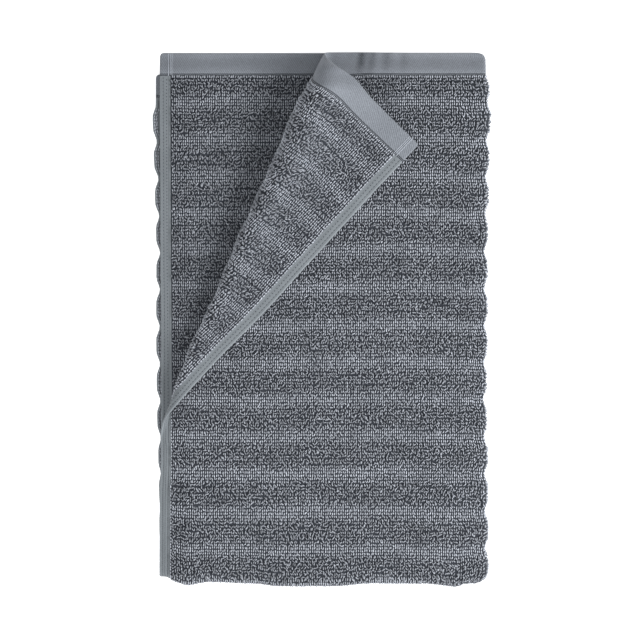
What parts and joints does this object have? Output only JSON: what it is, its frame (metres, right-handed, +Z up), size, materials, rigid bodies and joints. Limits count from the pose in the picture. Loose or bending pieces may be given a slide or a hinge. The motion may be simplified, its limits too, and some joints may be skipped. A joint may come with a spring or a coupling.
{
  "type": "folded bath sheet",
  "caption": "Large ribbed terry bath sheet folded in four and lying flat, with the free corner of its top layer turned back.",
  "frame": {"origin": "middle of the folded stack's outline in plan, on the surface it rests on", "axes": "+Z up from the surface, +Y towards the open ends with the end bands, +X towards the long fold"},
  "size_m": [0.5189, 0.8205, 0.0754],
  "materials": {
    "terry": "matte looped pile"
  },
  "bodies": {
    "root": {"bath_sheet": "terry"}
  },
  "joints": []
}
